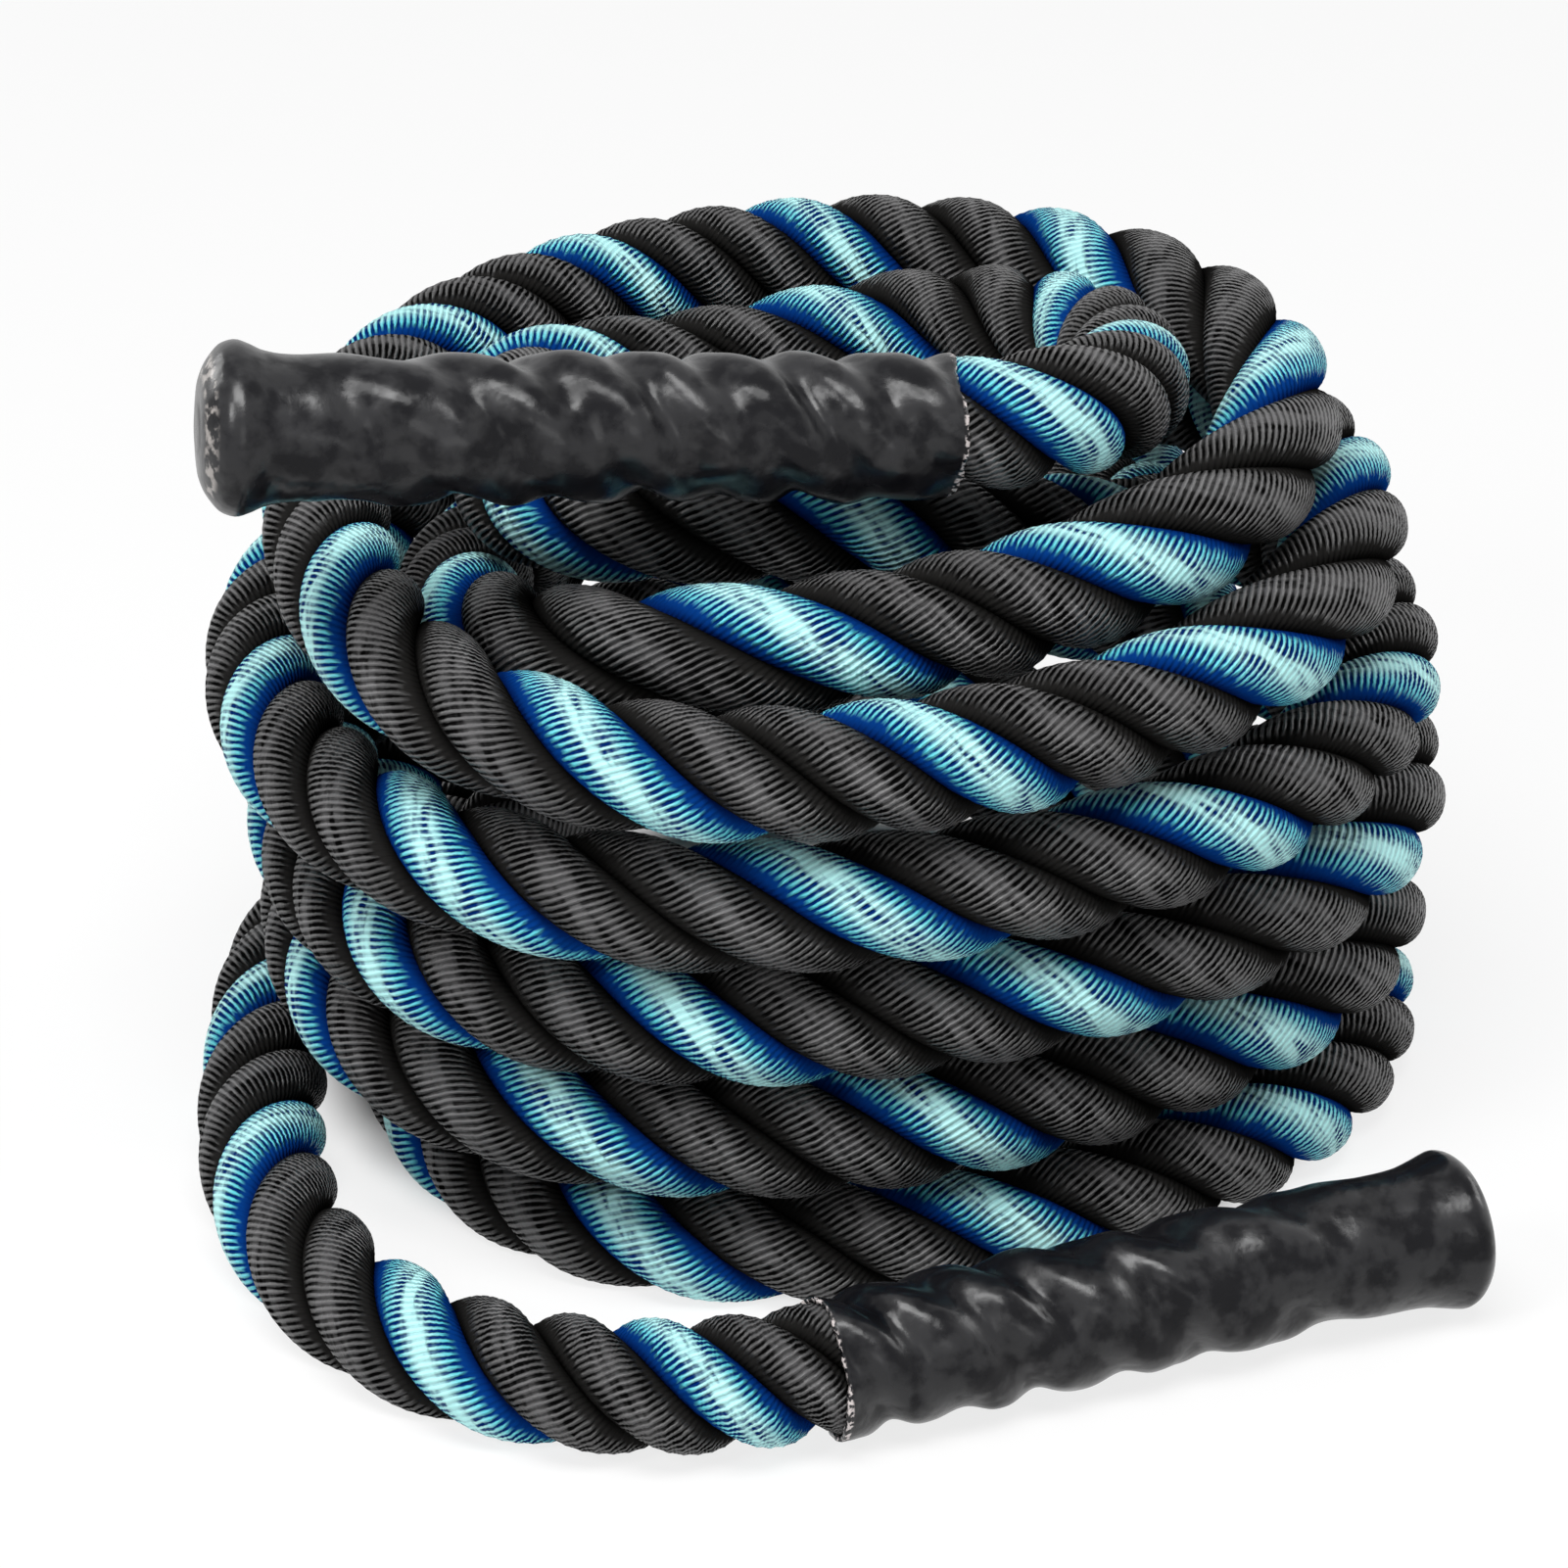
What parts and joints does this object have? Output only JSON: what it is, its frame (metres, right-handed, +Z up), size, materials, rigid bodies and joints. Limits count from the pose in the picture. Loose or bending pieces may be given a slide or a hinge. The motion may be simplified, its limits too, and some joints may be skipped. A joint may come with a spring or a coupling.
{
  "type": "battle rope",
  "caption": "Heavy three-strand training rope, wound into a low coil, with a shrink-sleeve handle on each end: one across the top of the coil, one on the floor beside it.",
  "frame": {"origin": "on the floor, in the middle of all that the coiled rope and its handles cover", "axes": "+Z up; +Y from the floor handle towards the back of the coil; +X to the right, seen from the floor handle's side"},
  "size_m": [0.3761, 0.4416, 0.2852],
  "materials": {
    "black_yarn": "twisted black polyester yarn with a fine ribbed surface and a soft sheen",
    "blue_yarn": "twisted light blue polyester yarn, navy in the valleys between its ribs",
    "shrink_sleeve": "satin black heat-shrink sleeve, drawn down on the strands",
    "end_tape": "black binding tape",
    "melted_tip": "yarn ends melted together"
  },
  "bodies": {
    "root": {"rope_coil": "black_yarn", "rope_floor_end": "black_yarn", "rope_upper_end": "black_yarn", "floor_handle_sleeve": "shrink_sleeve", "floor_blue_strand": "blue_yarn", "floor_left_black_strand": "black_yarn", "floor_right_black_strand": "black_yarn", "floor_end_tape": "end_tape", "floor_melted_tip": "melted_tip", "upper_handle_sleeve": "shrink_sleeve", "upper_blue_strand": "blue_yarn", "upper_left_black_strand": "black_yarn", "upper_right_black_strand": "black_yarn", "upper_end_tape": "end_tape", "upper_melted_tip": "melted_tip"}
  },
  "joints": []
}
